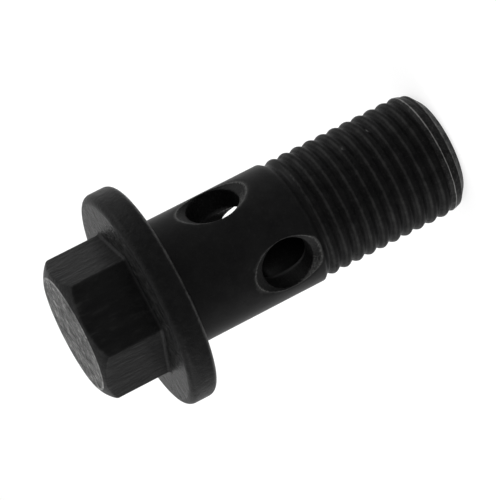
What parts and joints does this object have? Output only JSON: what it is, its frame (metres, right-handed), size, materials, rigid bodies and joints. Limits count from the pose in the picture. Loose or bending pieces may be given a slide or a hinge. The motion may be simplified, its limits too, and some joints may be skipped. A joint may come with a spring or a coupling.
{
  "type": "banjo bolt",
  "caption": "Hollow flange bolt with a hexagon head, countersunk cross drillings in its shank and a fine thread, for clamping a banjo fitting and passing fluid through it.",
  "frame": {"origin": "centre of the end face at the threaded end, where the oilway opens; the bolt stands on this face", "axes": "+Z along the bolt's axis from the threaded end to the head; +X along the cross drilling near the thread; +Y along the cross drilling near the head"},
  "size_m": [0.0242, 0.0242, 0.044],
  "materials": {
    "black_steel": "dull black phosphate over forged and turned steel"
  },
  "bodies": {
    "root": {"banjo_bolt": "black_steel"}
  },
  "joints": []
}
